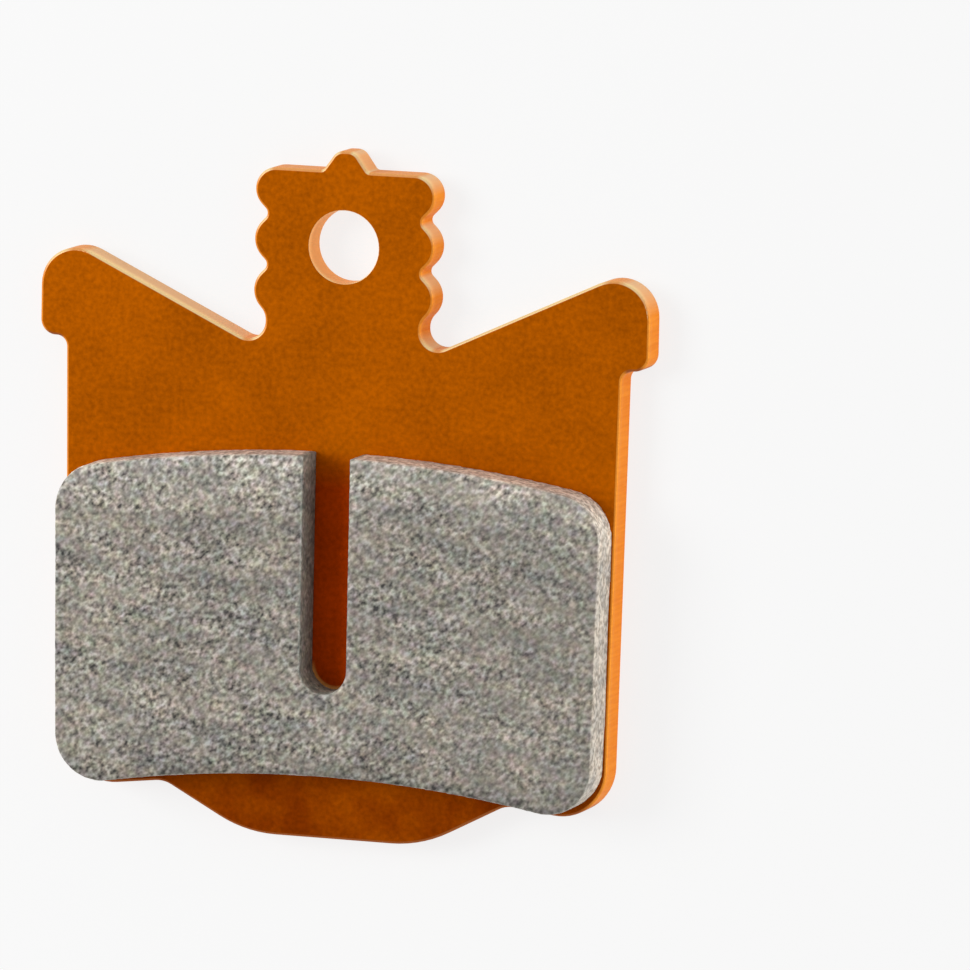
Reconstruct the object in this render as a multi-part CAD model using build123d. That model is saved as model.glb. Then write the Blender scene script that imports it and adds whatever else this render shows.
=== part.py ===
from build123d import *
import os
from math import cos, radians, tan

# A bicycle disc brake pad: a stamped steel backing plate with a sintered friction block bonded to
# its front. It hangs in the caliper on a retaining pin through the tab's hole, is held sideways
# and downwards by its two ears, and is pushed against the rotor from its flat back.
#
# Lengths are millimetres and angles are degrees. The pad lies on its back: X runs across it, Y runs
# away from the rotor's axle towards the hanging tab, Z rises from the back face to the friction face.
# The origin is the axis of the pin hole at the back face, and the pad is alike on both sides of X = 0.

# Backing plate
plate_thickness = 1.8
edge_roll = 0.18          # rounding that the stamping leaves along the front edge
pin_hole_diameter = 4.2   # a 4 mm retaining pin with clearance

# Hanging tab: a flat top with a small nub, and three rounded lobes down each side
tab_top = 4.34
nub_height = 1.14
nub_half_width = 1.36     # at the nub's foot
nub_lean = 36             # of the nub's sides, from upright
nub_tip_flat = 0.16       # half-width of what is left flat on the nub's round tip
nub_root_radius = 0.3
lobe_half_width = 5.42
lobe_pitch = 2.94
lobe_radius = 1.4
top_corner_radius = 1.25
notch_radius = 0.38
flank_angle = 45          # of the lobes' flanks, from upright
lobes_below_corner = 2    # the tab's top corner is the first lobe
first_notch_y = 1.69
root_straight = 0.05      # run left between the two arcs that turn the tab into the slope

# Ears: the plate's top edge rises outwards from the tab's root to the rounded ears
slope_angle = 25.1
slope_meeting_y = -8.35   # where the two slopes would meet on the centre line
ear_reach = 1.6           # how far each ear stands out from the body's side
ear_tip_radius = 2.15
ear_underside_y = -6.07
ear_corner_radius = 0.9
ear_shoulder_flat = 0.08  # left on the ear's underside between its corner and its root

# Body and foot: the sides close in slightly towards the bottom, which carries a shallow broad foot
side_half_width = 16.77   # at the ears' underside
side_taper = 0.9
heel_angle = 7            # at which the bottom edges fall outwards
heel_radius = 2.82
foot_depth = 3.96         # below the point where the two bottom edges would meet
foot_half_width = 5.34    # where the foot's flat would meet its flanks
foot_flank_angle = 28
foot_corner_radius = 7.37
foot_root_radius = 1.63

# Friction block: follows the rotor's braking ring, with one slot for dust and gas
friction_thickness = 2.4
friction_inset = 0.2      # of the block's sides from the plate's sides
friction_top_y = -11.75
friction_top_radius = 79
friction_height = 18.4
friction_bottom_radius = 74
friction_corner_radius = 2.7
friction_edge_radius = 0.15
slot_width = 2.84
slot_depth = 13.65        # from the middle of the block's top arc to the slot's round end

# Heights that follow: the plate's bottom edges start level with the middle of the block's lower arc
friction_bottom_y = friction_top_y - friction_height
slot_end_y = friction_top_y - slot_depth
heel_meeting_y = friction_bottom_y
foot_y = heel_meeting_y - foot_depth


def slope_line_y(x):
    """Height of the plate's sloping top edge."""
    return slope_meeting_y + x * tan(radians(slope_angle))


def side_x(y):
    """Half-width of the plate's body."""
    return side_half_width + (y - ear_underside_y) * tan(radians(side_taper))


def heel_line_y(x):
    """Height of the plate's bottom edge beside the foot."""
    return heel_meeting_y - x * tan(radians(heel_angle))


def nub_corners():
    """Right half of the nub on top of the tab, as corners with their radii."""
    top_y = tab_top + nub_height
    tip_x = nub_half_width - nub_height * tan(radians(nub_lean))
    tip_radius = (tip_x - nub_tip_flat) / tan(radians(90 - nub_lean) / 2)
    return [
        ((0, top_y), 0),
        ((tip_x, top_y), tip_radius),
        ((nub_half_width, tab_top), nub_root_radius),
    ]


def tab_corners():
    """Scalloped right side of the tab: straight flanks between sharp corners, each then rounded."""
    half_turn = radians(flank_angle)
    lobe_corner_x = lobe_half_width + lobe_radius * (1 / cos(half_turn) - 1)
    notch_corner_x = lobe_corner_x - lobe_pitch / 2 * tan(half_turn)
    top_corner_x = notch_corner_x + (tab_top - first_notch_y) * tan(half_turn)
    corners = [((top_corner_x, tab_top), top_corner_radius)]
    for lobe in range(lobes_below_corner):
        notch_y = first_notch_y - lobe * lobe_pitch
        lobe_y = notch_y - lobe_pitch / 2
        corners.append(((notch_corner_x, notch_y), notch_radius))
        corners.append(((lobe_corner_x, lobe_y), lobe_radius))

    # The tab's root is as deep as the notches. One arc there turns the last flank into the slope.
    root_x = notch_corner_x + notch_radius * (1 / cos(half_turn) - 1)
    root_top_y = lobe_y - (lobe_corner_x - root_x) / tan(half_turn)
    root_bottom_y = slope_line_y(root_x)
    arc_reach = tan(half_turn / 2) + tan(radians(90 + slope_angle) / 2)
    root_radius = (root_top_y - root_bottom_y - root_straight) / arc_reach
    corners.append(((root_x, root_top_y), root_radius))
    corners.append(((root_x, root_bottom_y), root_radius))
    return corners


def ear_corners():
    """Right ear, down to where its underside turns into the body's side."""
    ear_half_width = side_half_width + ear_reach
    root_run = ear_reach - ear_corner_radius - ear_shoulder_flat
    root_radius = root_run / tan(radians(90 - side_taper) / 2)
    return [
        ((ear_half_width, slope_line_y(ear_half_width)), ear_tip_radius),
        ((ear_half_width, ear_underside_y), ear_corner_radius),
        ((side_half_width, ear_underside_y), root_radius),
    ]


def foot_corners():
    """Right bottom corner and the right half of the foot."""
    taper_slope = tan(radians(side_taper))
    heel_slope = tan(radians(heel_angle))
    flank_slope = tan(radians(foot_flank_angle))
    heel_gap = heel_meeting_y - ear_underside_y - side_half_width * heel_slope
    heel_corner_y = ear_underside_y + heel_gap / (1 + taper_slope * heel_slope)
    heel_corner_x = side_x(heel_corner_y)
    foot_root_x = (heel_meeting_y - foot_y + foot_half_width * flank_slope) / (flank_slope + heel_slope)
    return [
        ((heel_corner_x, heel_corner_y), heel_radius),
        ((foot_root_x, heel_line_y(foot_root_x)), foot_root_radius),
        ((foot_half_width, foot_y), foot_corner_radius),
        ((0, foot_y), 0),
    ]


def backing_plate():
    """Flat stamped plate with its pin hole and rolled front edge."""
    corners = nub_corners() + tab_corners() + ear_corners() + foot_corners()
    points = [point for point, radius in corners]
    radii = [radius for point, radius in corners]
    half_outline = FilletPolyline(*points, radius=radii[1:-1])
    outline = Curve() + half_outline + mirror(half_outline, about=Plane.YZ)
    blank = make_face(outline) - Circle(pin_hole_diameter / 2)
    plate = extrude(blank, plate_thickness)
    front_face = plate.faces().sort_by(Axis.Z)[-1]
    return fillet(front_face.outer_wire().edges(), edge_roll)


def friction_block():
    """Moulded block between two arcs and the plate's sides, cut by the slot from its top edge."""
    top_x = side_x(tab_top) - friction_inset
    bottom_x = side_x(foot_y) - friction_inset
    sides = make_face(
        Polyline((-top_x, tab_top), (top_x, tab_top), (bottom_x, foot_y), (-bottom_x, foot_y), close=True)
    )
    top_disc = Pos(0, friction_top_y - friction_top_radius) * Circle(friction_top_radius)
    bottom_disc = Pos(0, friction_bottom_y - friction_bottom_radius) * Circle(friction_bottom_radius)
    block = (sides & top_disc) - bottom_disc
    block = fillet(block.vertices(), friction_corner_radius)

    slot_centre_y = slot_end_y + slot_width / 2
    slot_length = tab_top - slot_centre_y
    slot = Pos(0, slot_centre_y) * Circle(slot_width / 2)
    slot += Pos(0, slot_centre_y + slot_length / 2) * Rectangle(slot_width, slot_length)
    solid = extrude(Pos(0, 0, plate_thickness) * (block - slot), friction_thickness)
    friction_face = solid.faces().sort_by(Axis.Z)[-1]
    return fillet(friction_face.edges(), friction_edge_radius)


os.makedirs("parts", exist_ok=True)
export_step(backing_plate(), "parts/backing_plate.step")
export_step(friction_block(), "parts/friction_block.step")
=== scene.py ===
from math import cos, radians, sin

import bpy
from mathutils import Matrix, Vector


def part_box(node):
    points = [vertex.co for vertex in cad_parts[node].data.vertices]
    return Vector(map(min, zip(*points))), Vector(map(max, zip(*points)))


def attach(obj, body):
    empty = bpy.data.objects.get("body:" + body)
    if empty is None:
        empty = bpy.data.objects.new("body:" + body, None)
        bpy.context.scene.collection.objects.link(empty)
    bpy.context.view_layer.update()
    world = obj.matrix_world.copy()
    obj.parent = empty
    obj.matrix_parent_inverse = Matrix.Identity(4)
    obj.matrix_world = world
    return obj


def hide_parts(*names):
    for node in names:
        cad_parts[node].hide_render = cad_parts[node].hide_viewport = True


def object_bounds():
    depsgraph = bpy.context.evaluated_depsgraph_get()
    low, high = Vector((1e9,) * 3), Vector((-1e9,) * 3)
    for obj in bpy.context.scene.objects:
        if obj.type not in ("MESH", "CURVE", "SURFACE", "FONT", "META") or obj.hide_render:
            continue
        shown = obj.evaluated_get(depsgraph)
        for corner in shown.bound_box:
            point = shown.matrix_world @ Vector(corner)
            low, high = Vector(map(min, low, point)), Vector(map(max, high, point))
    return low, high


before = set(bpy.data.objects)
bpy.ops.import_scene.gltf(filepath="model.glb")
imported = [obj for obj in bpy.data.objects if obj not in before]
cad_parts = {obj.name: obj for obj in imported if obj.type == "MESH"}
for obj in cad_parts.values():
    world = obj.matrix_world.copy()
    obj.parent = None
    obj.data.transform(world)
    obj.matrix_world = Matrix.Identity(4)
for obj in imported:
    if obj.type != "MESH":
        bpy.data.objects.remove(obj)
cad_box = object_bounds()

# Backing plate
# A flat blank stamped from steel sheet, zinc plated and dipped in a clear amber lacquer that cures
# to an orange-brown satin skin. The friction block is bonded to its front.
millimetre = 0.001
merge_reach = 0.001 * millimetre
flat_angle = radians(0.2)         # facets that turn by less than this are one flat face
smooth_angle = radians(40)        # edges that turn by less than this look smooth
square_angle = radians(60)        # edges that turn by more than this are those that stamping left sharp
edge_break = 0.03 * millimetre    # what the lacquer rounds off those


def linear_colour(hex_code):
    """Linear colour with alpha, from an sRGB hex value."""
    shares = [int(hex_code[start:start + 2], 16) / 255 for start in (1, 3, 5)]
    linear = [s / 12.92 if s <= 0.04045 else ((s + 0.055) / 1.055) ** 2.4 for s in shares]
    return (*linear, 1)


def add_node(tree, kind, inputs=None, **settings):
    """Adds a shader node with its settings. Each input is a value or the output that feeds it.

    Mix takes its share at 0, and two numbers at 2 and 3 or two colours at 6 and 7. MapRange takes its
    value at 0, the ends of its range at 1 and 2, and what they become, if not 0 and 1, at 3 and 4.
    """
    node = tree.nodes.new("ShaderNode" + kind)
    for name, value in settings.items():
        setattr(node, name, value)
    for socket, value in (inputs or {}).items():
        if isinstance(value, bpy.types.NodeSocket):
            tree.links.new(value, node.inputs[socket])
        else:
            node.inputs[socket].default_value = value
    return node


def new_material(name):
    """An empty material, its tree, and object coordinates turned to millimetres."""
    material = bpy.data.materials.new(name)
    material.use_nodes = True
    tree = material.node_tree
    tree.nodes.clear()
    place = add_node(tree, "TexCoord").outputs["Object"]
    scaled = add_node(tree, "VectorMath", {0: place, "Scale": 1 / millimetre}, operation="SCALE")
    return material, tree, scaled.outputs[0]


def merged_copy(node_name, piece_name):
    """A copy of a CAD node with its loose triangles merged, selected and active."""
    bpy.ops.object.select_all(action="DESELECT")
    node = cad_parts[node_name]
    copy = bpy.data.objects.new(piece_name, node.data.copy())
    copy.data.name = piece_name
    bpy.context.scene.collection.objects.link(copy)
    bpy.context.view_layer.objects.active = copy
    copy.select_set(True)
    bpy.ops.object.mode_set(mode="EDIT")
    bpy.ops.mesh.customdata_custom_splitnormals_clear()
    bpy.ops.mesh.select_all(action="SELECT")
    bpy.ops.mesh.remove_doubles(threshold=merge_reach)
    bpy.ops.object.mode_set(mode="OBJECT")
    return copy


plate = merged_copy("backing_plate", "lacquered_plate")
bpy.ops.object.mode_set(mode="EDIT")
bpy.ops.mesh.select_all(action="SELECT")
bpy.ops.mesh.dissolve_limited(angle_limit=flat_angle)
bpy.ops.mesh.select_all(action="DESELECT")
bpy.ops.object.mode_set(mode="OBJECT")
bpy.ops.object.shade_smooth_by_angle(angle=smooth_angle)
bevel = plate.modifiers.new("edge_break", "BEVEL")
bevel.width = edge_break
bevel.segments = 2
bevel.limit_method = "ANGLE"
bevel.angle_limit = square_angle
bpy.ops.object.modifier_apply(modifier=bevel.name)
bpy.ops.object.shade_smooth_by_angle(angle=smooth_angle)
weighted = plate.modifiers.new("flat_faces_stay_flat", "WEIGHTED_NORMAL")
weighted.keep_sharp = True
bpy.ops.object.modifier_apply(modifier=weighted.name)

# Amber lacquer over zinc-plated steel: the metal under the tinted film gives a satin gleam and a fine
# mottle. The sheared edges are yellower than the faces and keep the shear's fine upright marks, and they
# are painted brighter as a painted highlight. Edges that face up the plate, the hole's wall and most of
# all the rolled rim are painted pale as painted highlight and reflection. Painted shade makes the foot,
# the edges that face down the plate and the block's slot deeper and redder. Sizes are in millimetres.
lacquer, tree, place_mm = new_material("amber_lacquer_on_zinc_plated_steel")
place = add_node(tree, "SeparateXYZ", {0: place_mm})
mottle_size = 0.3
cloud_size = 3.0
cloud_share = 0.45
mottle = add_node(tree, "TexNoise", {"Vector": place_mm, "Scale": 1 / mottle_size, "Detail": 2.0})
cloud = add_node(tree, "TexNoise", {"Vector": place_mm, "Scale": 1 / cloud_size, "Detail": 4.0})
both = add_node(tree, "Mix", {0: cloud_share, 2: mottle.outputs["Fac"], 3: cloud.outputs["Fac"]})
face_tint = add_node(tree, "ValToRGB", {"Fac": both.outputs[0]})
face_tint.color_ramp.elements[0].position = 0.34
face_tint.color_ramp.elements[0].color = linear_colour("#AA5300")
face_tint.color_ramp.elements[1].position = 0.66
face_tint.color_ramp.elements[1].color = linear_colour("#CE6700")

# On the foot, painted shade darkens and reddens the lacquer, more in some places than in others.
foot_shade_start_y = -26
foot_shade_full_y = -30.2
strong_foot_shade = 1.3
weak_foot_shade = 0.75
on_foot = add_node(tree, "MapRange", {0: place.outputs["Y"], 1: foot_shade_start_y, 2: foot_shade_full_y})
foot_shade_depth = add_node(
    tree, "MapRange", {0: cloud.outputs["Fac"], 1: 0.35, 2: 0.65, 3: strong_foot_shade, 4: weak_foot_shade},
)
painted_foot_shade = add_node(tree, "Math", {0: on_foot.outputs[0], 1: foot_shade_depth.outputs[0]}, operation="MULTIPLY")
foot_shaded_tint = add_node(
    tree, "Mix", {0: painted_foot_shade.outputs[0], 6: face_tint.outputs["Color"], 7: linear_colour("#D4BEA8")},
    data_type="RGBA", blend_type="MULTIPLY", clamp_factor=False,
)

# In the block's slot, painted shade deepens and reddens the lacquer from the mouth inwards.
slot_half_width = 1.5
slot_mouth_y = -11.7
slot_shade_full_y = -13.9
past_slot_y = -26                 # just past the slot's closed end
plate_middle_z = 0.9


def within_slot(tree, place, half_width):
    """1 within the block's slot, out to a half-width in millimetres, and 0 elsewhere."""
    off_middle = add_node(tree, "Math", {0: place.outputs["X"]}, operation="ABSOLUTE").outputs[0]
    in_width = add_node(tree, "Math", {0: off_middle, 1: half_width}, operation="LESS_THAN").outputs[0]
    above_end = add_node(
        tree, "Math", {0: place.outputs["Y"], 1: past_slot_y}, operation="GREATER_THAN",
    ).outputs[0]
    return add_node(tree, "Math", {0: in_width, 1: above_end}, operation="MULTIPLY").outputs[0]


from_mouth = add_node(tree, "MapRange", {0: place.outputs["Y"], 1: slot_mouth_y, 2: slot_shade_full_y})
on_front = add_node(tree, "Math", {0: place.outputs["Z"], 1: plate_middle_z}, operation="GREATER_THAN")
down_slot = add_node(
    tree, "Math", {0: within_slot(tree, place, slot_half_width), 1: from_mouth.outputs[0]},
    operation="MULTIPLY",
)
painted_slot_shade = add_node(tree, "Math", {0: down_slot.outputs[0], 1: on_front.outputs[0]}, operation="MULTIPLY")
slot_shaded_tint = add_node(
    tree, "Mix", {0: painted_slot_shade.outputs[0], 6: foot_shaded_tint.outputs[2], 7: linear_colour("#F9AD90")},
    data_type="RGBA", blend_type="MULTIPLY",
)

# Along the slot's closed end, a painted highlight: a pale line that follows the round wall.
slot_end_centre = (0, -23.98, 0)
line_start_radius = 1.2
line_full_radius = 1.4
line_start_y = -23.8
line_full_y = -24.4
line_share = 0.9
across_plate = (1, 1, 0)          # drops the height
flat_place = add_node(tree, "VectorMath", {0: place_mm, 1: across_plate}, operation="MULTIPLY").outputs[0]
from_slot_end = add_node(tree, "VectorMath", {0: flat_place, 1: slot_end_centre}, operation="DISTANCE")
at_wall = add_node(
    tree, "MapRange",
    {0: from_slot_end.outputs["Value"], 1: line_start_radius, 2: line_full_radius, 4: line_share},
)
at_end = add_node(tree, "MapRange", {0: place.outputs["Y"], 1: line_start_y, 2: line_full_y})
along_wall = add_node(tree, "Math", {0: at_wall.outputs[0], 1: painted_slot_shade.outputs[0]}, operation="MULTIPLY")
slot_end_highlight = add_node(tree, "Math", {0: along_wall.outputs[0], 1: at_end.outputs[0]}, operation="MULTIPLY")
face_with_painted_light = add_node(
    tree, "Mix", {0: slot_end_highlight.outputs[0], 6: slot_shaded_tint.outputs[2], 7: linear_colour("#FFB060")},
    data_type="RGBA",
)

# The sheared edges, yellow under a thin film, and painted brighter than the faces as a painted highlight.
shear_mark_width = 0.16
shear_mark_length = 2.4
upright = add_node(
    tree, "Mapping",
    {"Vector": place_mm, "Scale": (shear_mark_width, shear_mark_width, shear_mark_length)},
    vector_type="TEXTURE",
)
shear = add_node(tree, "TexNoise", {"Vector": upright.outputs[0], "Scale": 1.0, "Detail": 2.0})
edge_tint_and_highlight = add_node(tree, "ValToRGB", {"Fac": shear.outputs["Fac"]})
edge_tint_and_highlight.color_ramp.elements[0].position = 0.3
edge_tint_and_highlight.color_ramp.elements[0].color = linear_colour("#EC840C")
edge_tint_and_highlight.color_ramp.elements[1].position = 0.7
edge_tint_and_highlight.color_ramp.elements[1].color = linear_colour("#F6941C")

# An edge's climb is 1 where it faces straight up the plate (+Y), and -1 where it faces down. Painted
# light: edges that face up the plate at a slant are painted pale as a painted reflection, those that face
# straight up less so, and the lowest edges get painted shade, darker and redder.
slope_start_climb = 0.1
slope_full_climb = 0.9
slope_highlight = 0.85
level_start_climb = 0.93
level_full_climb = 0.995
level_highlight = 0.35             # as a share of a sloping edge's
lowest_start_climb = -0.68
lowest_full_climb = -0.9
lowest_share = 0.9
outward = add_node(tree, "TexCoord").outputs["Normal"]
sideways = add_node(tree, "VectorMath", {0: outward, 1: across_plate}, operation="MULTIPLY")
edge_way = add_node(tree, "VectorMath", {0: sideways.outputs[0]}, operation="NORMALIZE")
climb = add_node(tree, "SeparateXYZ", {0: edge_way.outputs[0]}).outputs["Y"]
sloping = add_node(
    tree, "MapRange", {0: climb, 1: slope_start_climb, 2: slope_full_climb, 4: slope_highlight},
)
level = add_node(
    tree, "MapRange", {0: climb, 1: level_start_climb, 2: level_full_climb, 3: 1.0, 4: level_highlight},
)
upward_highlight = add_node(tree, "Math", {0: sloping.outputs[0], 1: level.outputs[0]}, operation="MULTIPLY")
upward_lit_tint = add_node(
    tree, "Mix", {0: upward_highlight.outputs[0], 6: edge_tint_and_highlight.outputs["Color"], 7: linear_colour("#F0CB9E")},
    data_type="RGBA",
)
lowest = add_node(
    tree, "MapRange", {0: climb, 1: lowest_start_climb, 2: lowest_full_climb, 4: lowest_share},
)
downward_shaded_tint = add_node(
    tree, "Mix", {0: lowest.outputs[0], 6: upward_lit_tint.outputs[2], 7: linear_colour("#963A00")},
    data_type="RGBA",
)

# Painted light: the hole's wall is painted pale, and so is the rim that the stamping rolled, most where
# its edge faces up the plate, as a painted highlight.
hole_start_radius = 2.3
hole_full_radius = 2.2
rim_start_z = 1.2
rim_full_z = 1.7
rim_highlight = 0.8
rim_start_highlight = 0.3
rim_full_highlight = 0.85
rim_least = 0.1
from_axis = add_node(tree, "VectorMath", {0: flat_place}, operation="LENGTH")
in_hole = add_node(
    tree, "MapRange", {0: from_axis.outputs["Value"], 1: hole_start_radius, 2: hole_full_radius},
)
hole_painted_light = add_node(
    tree, "Mix", {0: in_hole.outputs[0], 6: downward_shaded_tint.outputs[2], 7: linear_colour("#FFC07A")},
    data_type="RGBA",
)
up_wall = add_node(
    tree, "MapRange", {0: place.outputs["Z"], 1: rim_start_z, 2: rim_full_z, 4: rim_highlight},
)
rim_by_upward_highlight = add_node(
    tree, "MapRange", {0: upward_highlight.outputs[0], 1: rim_start_highlight, 2: rim_full_highlight, 3: rim_least, 4: 1.0},
)
rim_share = add_node(tree, "Math", {0: up_wall.outputs[0], 1: rim_by_upward_highlight.outputs[0]}, operation="MULTIPLY")
wall_with_painted_light = add_node(
    tree, "Mix", {0: rim_share.outputs[0], 6: hole_painted_light.outputs[2], 7: linear_colour("#FFE2A4")},
    data_type="RGBA",
)

# Faces and edges together.
face_start = 0.94                 # upward share of the outward direction
face_full = 0.997
glossiest = 0.36
dullest = 0.46
peel_height = 0.01 * millimetre
rise = add_node(tree, "SeparateXYZ", {0: outward}).outputs["Z"]
flatness = add_node(tree, "Math", {0: rise}, operation="ABSOLUTE")
on_face = add_node(tree, "MapRange", {0: flatness.outputs[0], 1: face_start, 2: face_full}).outputs[0]
lacquer_with_painted_light = add_node(
    tree, "Mix", {0: on_face, 6: wall_with_painted_light.outputs[2], 7: face_with_painted_light.outputs[2]},
    data_type="RGBA",
)
skin = add_node(tree, "Mix", {0: on_face, 2: shear.outputs["Fac"], 3: mottle.outputs["Fac"]})
satin = add_node(
    tree, "MapRange", {0: mottle.outputs["Fac"], 1: 0.3, 2: 0.7, 3: glossiest, 4: dullest},
)
peel = add_node(tree, "Bump", {"Strength": 0.2, "Distance": peel_height, "Height": skin.outputs[0]})
surface = add_node(tree, "BsdfPrincipled", {
    "Base Color": lacquer_with_painted_light.outputs[2],
    "Metallic": 0.25,
    "Roughness": satin.outputs[0],
    "Specular IOR Level": 0.05,
    "Specular Tint": linear_colour("#E0A050"),
    "Normal": peel.outputs["Normal"],
})
add_node(tree, "OutputMaterial", {"Surface": surface.outputs["BSDF"]})
plate.data.materials.clear()
plate.data.materials.append(lacquer)
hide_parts("backing_plate")
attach(plate, "root")

# Friction block
# Metal powders pressed to shape and sintered on the plate: a hard grey mass of grains with small
# pores, ground flat on its face, with edges that crumble slightly.
facet_size = 0.13 * millimetre
grain_size = 0.24 * millimetre
grain_relief = 0.03 * millimetre
grain_level = 0.35                # texture value that neither stands out nor lies back
bond_fade = 0.2 * millimetre      # over which the relief dies out towards the bond
block = merged_copy("friction_block", "sintered_block")
remesh = block.modifiers.new("even_facets", "REMESH")
remesh.mode = "VOXEL"
remesh.voxel_size = facet_size
bpy.ops.object.modifier_apply(modifier=remesh.name)
bond_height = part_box("friction_block")[0].z
rough = block.vertex_groups.new(name="rough")
for vertex in block.data.vertices:
    above = (vertex.co.z - bond_height) / bond_fade
    rough.add([vertex.index], min(max(above, 0), 1), "REPLACE")
grains = bpy.data.textures.new("grains", "VORONOI")
grains.noise_scale = grain_size
relief = block.modifiers.new("grain_relief", "DISPLACE")
relief.texture = grains
relief.texture_coords = "LOCAL"
relief.mid_level = grain_level
relief.strength = grain_relief
relief.vertex_group = rough.name
bpy.ops.object.modifier_apply(modifier=relief.name)
bpy.ops.object.shade_smooth()

# Sintered bronze and iron powder: pale and dark metal grains side by side, in mixed hues, drawn out a
# little by the grinding of the face. Softer metal is smeared over them in streaks, so that the grain is
# sharp in some places and faint in others, and the tone shifts from streak to streak. Painted light: the
# face is paler along the outer arc and darker along the inner arc, and the outer walls are paler with
# bright flecks, partly the die's polish and partly painted highlight. The slot's walls get painted shade,
# darker towards the plate.
sinter, tree, place_mm = new_material("sintered_metal_powder")
place = add_node(tree, "SeparateXYZ", {0: place_mm})
grit_size = 0.26
grit_length = 0.335
grinding_angle = radians(40)
clump_size = 0.8
clump_share = 0.18
ground = add_node(
    tree, "Mapping",
    {"Vector": place_mm, "Rotation": (0, 0, grinding_angle), "Scale": (grit_length, grit_size, grit_size)},
    vector_type="TEXTURE",
)
grit = add_node(
    tree, "TexNoise", {"Vector": ground.outputs[0], "Scale": 1.0, "Detail": 1.5, "Roughness": 0.5},
)
clumps = add_node(tree, "TexNoise", {"Vector": place_mm, "Scale": 1 / clump_size, "Detail": 1.0})
speckle = add_node(tree, "Mix", {0: clump_share, 2: grit.outputs["Fac"], 3: clumps.outputs["Fac"]})
shade = add_node(tree, "ValToRGB", {"Fac": speckle.outputs[0]})
shade.color_ramp.elements[0].position = 0.32
shade.color_ramp.elements[0].color = linear_colour("#45423F")
shade.color_ramp.elements[1].position = 0.68
shade.color_ramp.elements[1].color = linear_colour("#EBE6DE")
middle = shade.color_ramp.elements.new(0.5)
middle.color = linear_colour("#A9A399")

# Streaks of smeared metal, which lie thicker towards the block's right end.
streak_length = 4.2
streak_width = 1.1
streak_angle = radians(-12)
faint_grain = 0.6
sharp_grain = 1.05
worn_start_x = 3.0
worn_full_x = 15.0
worn_sharpness = 0.75
drawn = add_node(
    tree, "Mapping",
    {
        "Vector": place_mm,
        "Rotation": (0, 0, streak_angle),
        "Scale": (streak_length, streak_width, streak_width),
    },
    vector_type="TEXTURE",
)
streaks = add_node(tree, "TexNoise", {"Vector": drawn.outputs[0], "Scale": 1.0, "Detail": 2.0})
smear, patches = add_node(tree, "SeparateColor", {0: streaks.outputs["Color"]}).outputs[:2]
unsmeared = add_node(tree, "MapRange", {0: smear, 1: 0.38, 2: 0.6, 3: faint_grain, 4: sharp_grain})
worn = add_node(
    tree, "MapRange", {0: place.outputs["X"], 1: worn_start_x, 2: worn_full_x, 3: 1.0, 4: worn_sharpness},
)
sharpness = add_node(tree, "Math", {0: unsmeared.outputs[0], 1: worn.outputs[0]}, operation="MULTIPLY")
smeared = add_node(
    tree, "Mix", {0: sharpness.outputs[0], 6: linear_colour("#ABA49A"), 7: shade.outputs["Color"]},
    data_type="RGBA",
)

# Hues of the mixed metals: each channel swings on its own about no change.
hue_size = 0.5
hue_swing = 0.32
hue_least = 0.84
hues = add_node(tree, "TexNoise", {"Vector": place_mm, "Scale": 1 / hue_size, "Detail": 1.0})
hue_share = add_node(
    tree, "VectorMath", {0: hues.outputs["Color"], 1: (hue_swing,) * 3, 2: (hue_least,) * 3},
    operation="MULTIPLY_ADD",
)
hued = add_node(tree, "VectorMath", {0: smeared.outputs[2], 1: hue_share.outputs[0]}, operation="MULTIPLY")

# Outer walls and slot walls: the outer walls are paler with bright flecks, partly the die's polish and
# partly painted highlight, and the slot's walls get painted shade.
wall_start = 0.95                 # upward share of the outward direction
wall_full = 0.4
slot_wall_reach = 1.7             # half the slot's width, with its broken edges
polish_and_highlight = 0.75
slot_wall_shade = 0.45
rise = add_node(tree, "SeparateXYZ", {0: add_node(tree, "TexCoord").outputs["Normal"]}).outputs["Z"]
on_wall = add_node(tree, "MapRange", {0: rise, 1: wall_start, 2: wall_full}).outputs[0]
slot_wall = add_node(
    tree, "Math", {0: on_wall, 1: within_slot(tree, place, slot_wall_reach)}, operation="MULTIPLY",
).outputs[0]
outer_wall = add_node(tree, "Math", {0: on_wall, 1: slot_wall}, operation="SUBTRACT")
wall_fleck_and_highlight_share = add_node(tree, "Math", {0: outer_wall.outputs[0], 1: polish_and_highlight}, operation="MULTIPLY")
flecks_and_highlight = add_node(tree, "ValToRGB", {"Fac": speckle.outputs[0]})
flecks_and_highlight.color_ramp.elements[0].position = 0.38
flecks_and_highlight.color_ramp.elements[0].color = linear_colour("#B0A598")
flecks_and_highlight.color_ramp.elements[1].position = 0.6
flecks_and_highlight.color_ramp.elements[1].color = linear_colour("#F0E7DA")
walls_polished_and_lit = add_node(
    tree, "Mix", {0: wall_fleck_and_highlight_share.outputs[0], 6: hued.outputs[0], 7: flecks_and_highlight.outputs["Color"]},
    data_type="RGBA",
)
# Painted shade on the slot's walls: duller and darker.
slot_wall_shade_share = add_node(tree, "Math", {0: slot_wall, 1: slot_wall_shade}, operation="MULTIPLY")
slot_walls_shaded = add_node(
    tree, "Mix", {0: slot_wall_shade_share.outputs[0], 6: walls_polished_and_lit.outputs[2], 7: linear_colour("#8F9D98")},
    data_type="RGBA",
)

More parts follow.
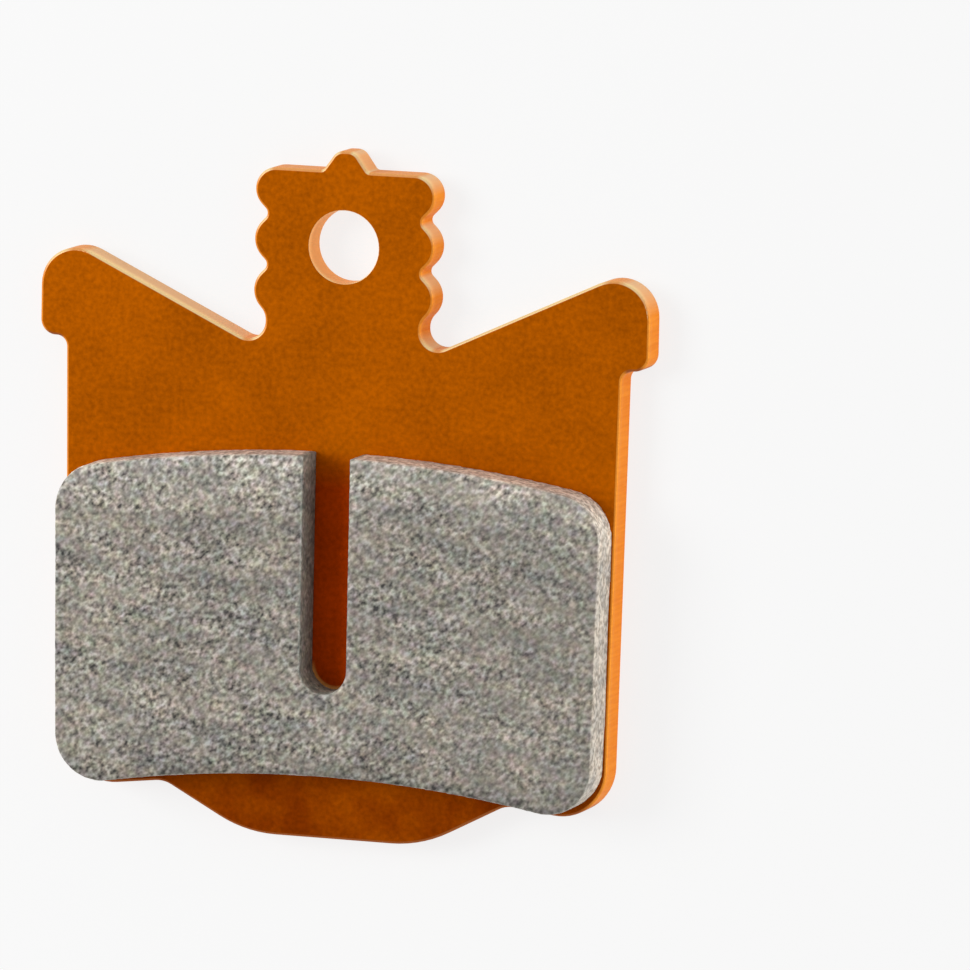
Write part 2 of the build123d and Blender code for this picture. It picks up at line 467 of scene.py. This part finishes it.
# Tone: from streak to streak, and painted light and shade: paler along the outer arc and darker along
# the inner arc. On the slot's walls, painted shade darker towards the plate instead.
outer_arc_centre = (0, -90.75, 0)
outer_arc_radius = 79
outer_lit_band = 3.4
outer_arc_light = 1.5
inner_arc_centre = (0, -104.15, 0)
inner_arc_radius = 74
inner_shaded_band = 2
inner_arc_shade = 0.72
bond_z = 1.8
face_z = 4.2
slot_shade_at_bond = 0.85
slot_shade_at_face = 1.6
patch_tint = add_node(tree, "ValToRGB", {"Fac": patches})
patch_tint.color_ramp.elements[0].position = 0.3
patch_tint.color_ramp.elements[0].color = linear_colour("#D0D3D5")
patch_tint.color_ramp.elements[1].position = 0.7
patch_tint.color_ramp.elements[1].color = linear_colour("#FFFBF4")
patched = add_node(
    tree, "Mix", {0: 1.0, 6: slot_walls_shaded.outputs[2], 7: patch_tint.outputs["Color"]},
    data_type="RGBA", blend_type="MULTIPLY",
)
from_outer = add_node(tree, "VectorMath", {0: place_mm, 1: outer_arc_centre}, operation="DISTANCE")
paler = add_node(tree, "MapRange", {
    0: from_outer.outputs["Value"],
    1: outer_arc_radius - outer_lit_band,
    2: outer_arc_radius,
    3: 1.0,
    4: outer_arc_light,
})
from_inner = add_node(tree, "VectorMath", {0: place_mm, 1: inner_arc_centre}, operation="DISTANCE")
darker = add_node(tree, "MapRange", {
    0: from_inner.outputs["Value"],
    1: inner_arc_radius,
    2: inner_arc_radius + inner_shaded_band,
    3: inner_arc_shade,
    4: 1.0,
})
painted_arc_light = add_node(tree, "Math", {0: paler.outputs[0], 1: darker.outputs[0]}, operation="MULTIPLY")
# Painted shade on the slot's walls, darker towards the plate.
slot_depth_shade = add_node(
    tree, "MapRange",
    {0: place.outputs["Z"], 1: bond_z, 2: face_z, 3: slot_shade_at_bond, 4: slot_shade_at_face},
)
tone_and_painted_light = add_node(tree, "Mix", {0: slot_wall, 2: painted_arc_light.outputs[0], 3: slot_depth_shade.outputs[0]})
toned = add_node(tree, "VectorMath", {0: patched.outputs[2], "Scale": tone_and_painted_light.outputs[0]}, operation="SCALE")
pore_depth = 0.03 * millimetre
pores = add_node(tree, "Bump", {"Strength": 0.5, "Distance": pore_depth, "Height": grit.outputs["Fac"]})
surface = add_node(tree, "BsdfPrincipled", {
    "Base Color": toned.outputs[0],
    "Metallic": 0.2,
    "Roughness": 0.6,
    "Normal": pores.outputs["Normal"],
})
add_node(tree, "OutputMaterial", {"Surface": surface.outputs["BSDF"]})
block.data.materials.clear()
block.data.materials.append(sinter)
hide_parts("friction_block")
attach(block, "root")

# Floor and surroundings
# A plain table of white paper in a pale room, with a slightly dimmer ceiling. The paper shows nearly
# white and keeps the pad's shadow, and it throws light back up at the pad's edges.
table_size = 6
table_gap = 0.01 * millimetre     # keeps the table's top clear of the plate's back
white_share = 0.8
thrown_back = 0.4
bpy.ops.object.select_all(action="DESELECT")
bpy.ops.mesh.primitive_plane_add(size=table_size, location=(0, 0, -table_gap))
floor = bpy.context.object
floor.name = "floor"
paper, tree = new_material("white_paper")[:2]
ray = add_node(tree, "LightPath").outputs
straight = add_node(tree, "Math", {0: ray["Is Camera Ray"], 1: ray["Is Glossy Ray"]}, operation="MAXIMUM")
seen = add_node(
    tree, "Math", {0: straight.outputs[0], 1: ray["Is Transmission Ray"]}, operation="MAXIMUM",
)
whiteness = add_node(tree, "Math", {0: seen.outputs[0], 1: white_share}, operation="MULTIPLY")
matt = add_node(tree, "BsdfDiffuse", {"Color": linear_colour("#F4F4F4")})
white = add_node(tree, "Emission", {"Color": linear_colour("#FFFFFF"), "Strength": 1.0})
shown = add_node(tree, "MixShader", {0: whiteness.outputs[0], 1: matt.outputs[0], 2: white.outputs[0]})
glow = add_node(tree, "Math", {0: ray["Is Diffuse Ray"], 1: thrown_back}, operation="MULTIPLY")
upward = add_node(tree, "Emission", {"Color": linear_colour("#FFFFFF"), "Strength": glow.outputs[0]})
table = add_node(tree, "AddShader", {0: shown.outputs[0], 1: upward.outputs[0]})
add_node(tree, "OutputMaterial", {"Surface": table.outputs[0]})
paper.cycles.emission_sampling = "NONE"
floor.data.materials.append(paper)

wall_top = 0.5                    # upward share of the direction in which the room is seen
ceiling_start = 0.8
wall_light = 0.5
ceiling_light = 0.42
world = bpy.data.worlds.new("pale_room")
bpy.context.scene.world = world
world.use_nodes = True
tree = world.node_tree
tree.nodes.clear()
direction = add_node(tree, "TexCoord").outputs["Generated"]
height = add_node(tree, "SeparateXYZ", {0: direction}).outputs["Z"]
room = add_node(
    tree, "MapRange", {0: height, 1: wall_top, 2: ceiling_start, 3: wall_light, 4: ceiling_light},
)
ray = add_node(tree, "LightPath").outputs
seen_room = add_node(tree, "Mix", {0: ray["Is Camera Ray"], 2: room.outputs[0], 3: 1.0})
sky = add_node(tree, "Background", {"Color": linear_colour("#FFFFFF"), "Strength": seen_room.outputs[0]})
add_node(tree, "OutputWorld", {"Surface": sky.outputs[0]})

# Lights
# One soft lamp high on the left, slightly towards the tab, and a low panel that stands on the table to
# the right, so that the edges on that side are brighter than the faces.


def add_lamp(name, azimuth, elevation, distance, width, height, power):
    """A soft lamp aimed at the pad. Its azimuth is from +X towards +Y, and its angles are in degrees."""
    level = cos(radians(elevation))
    way = Vector((cos(radians(azimuth)) * level, sin(radians(azimuth)) * level, sin(radians(elevation))))
    light = bpy.data.lights.new(name, "AREA")
    light.shape = "RECTANGLE"
    light.size = width
    light.size_y = height
    light.energy = power
    lamp = bpy.data.objects.new(name, light)
    lamp.location = (cad_box[0] + cad_box[1]) / 2 + way * distance
    lamp.rotation_euler = way.to_track_quat("Z", "Y").to_euler()
    lamp.visible_camera = False
    bpy.context.scene.collection.objects.link(lamp)


add_lamp("key_lamp", azimuth=162, elevation=42, distance=0.5, width=0.25, height=0.25, power=1.3)
add_lamp("right_panel", azimuth=0, elevation=3.5, distance=0.45, width=0.4, height=0.05, power=0.72)

# Camera
# Long lens, looking down on the pad from the right of straight above and slightly towards the tab. It is
# placed so that the pin hole comes out at its place and size in the picture.
photo_width = 970
focal_pixels = 12000
pixels_per_mm = 17.6              # at the pin hole
hole_pixel = (343.8, 247.3)       # where the middle of the hole's front rim lies in the picture
yaw, pitch, roll = radians(18.77), radians(7.9), radians(1.2)
film_width = 36
back = Vector((sin(yaw) * cos(pitch), sin(pitch), cos(yaw) * cos(pitch)))
right = Vector((0, 1, 0)).cross(back).normalized()
up = back.cross(right)
turn = Matrix.Rotation(roll, 3, back)
right, up = turn @ right, turn @ up
distance = focal_pixels / pixels_per_mm * millimetre
hole_centre = Vector((0, 0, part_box("backing_plate")[1].z))
off_right = (hole_pixel[0] - photo_width / 2) / focal_pixels * distance
off_down = (hole_pixel[1] - photo_width / 2) / focal_pixels * distance
lens = bpy.data.cameras.new("camera")
lens.sensor_width = film_width
lens.lens = film_width * focal_pixels / photo_width
camera = bpy.data.objects.new("camera", lens)
camera.matrix_world = Matrix((right, up, back)).transposed().to_4x4()
camera.location = hole_centre + back * distance - right * off_right + up * off_down
bpy.context.scene.collection.objects.link(camera)
bpy.context.scene.camera = camera
bpy.context.scene.view_settings.view_transform = "Standard"
